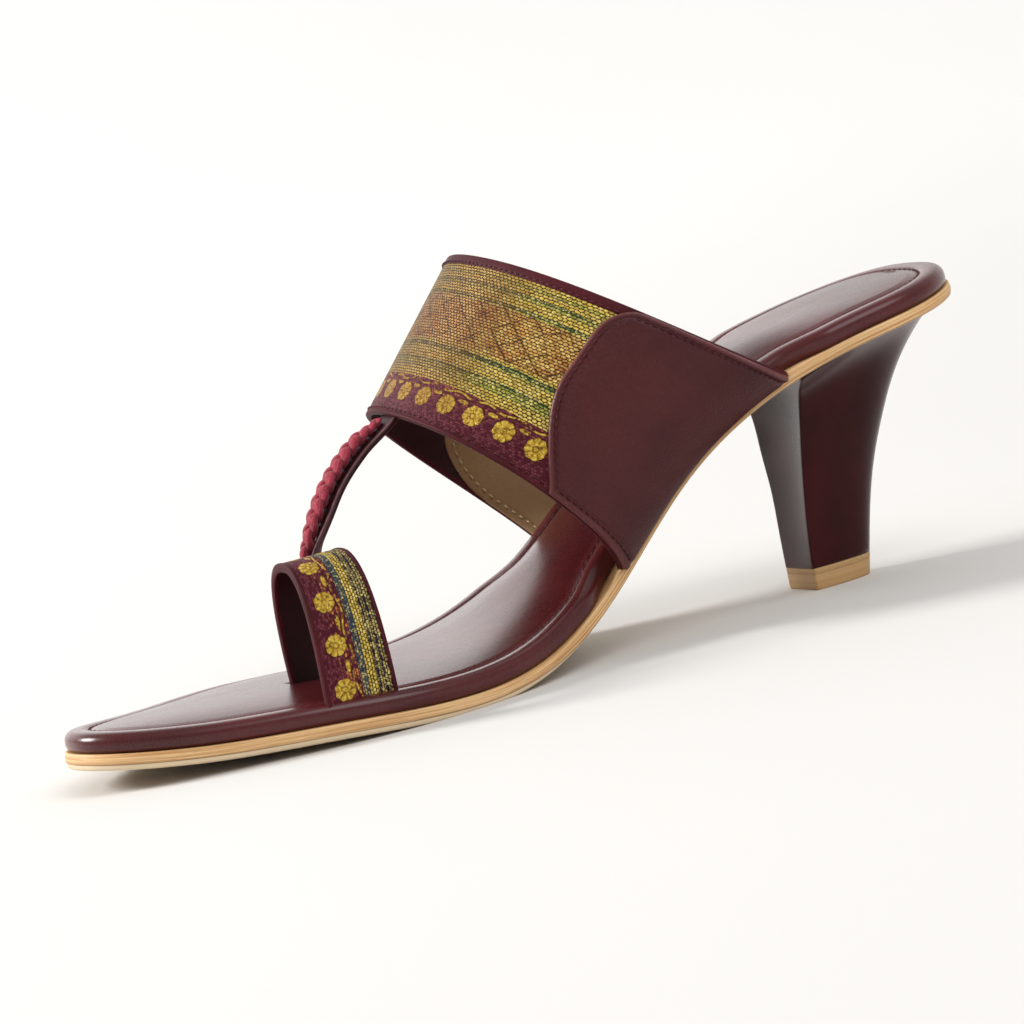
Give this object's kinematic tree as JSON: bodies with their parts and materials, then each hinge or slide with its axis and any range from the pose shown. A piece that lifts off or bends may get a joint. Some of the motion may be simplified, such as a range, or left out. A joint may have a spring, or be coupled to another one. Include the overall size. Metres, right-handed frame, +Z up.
{
  "type": "heeled toe-ring sandal",
  "caption": "Right-foot slip-on sandal: brocade instep band with leather side flaps, plaited centre strap to a toe ring, padded leather footbed, tan sole and covered block heel.",
  "frame": {"origin": "middle of the bounding box's bottom, on the floor that the heel tip and forefoot stand on", "axes": "+Y towards the toe, +X towards the outer side of the foot, +Z up"},
  "size_m": [0.0864, 0.2264, 0.0916],
  "materials": {
    "outsole": "stacked-look edge, satin",
    "heel": "glossy cover",
    "heel_tip": "matte",
    "footbed": "semi-gloss",
    "upper": "metallic brocade",
    "flap": "semi-gloss",
    "braid": "plaited cord"
  },
  "bodies": {
    "root": {"outsole": "outsole", "heel": "heel", "heel_tip": "heel_tip", "footbed": "footbed", "upper": "upper", "flap_medial": "flap", "flap_lateral": "flap", "braid": "braid"}
  },
  "joints": []
}
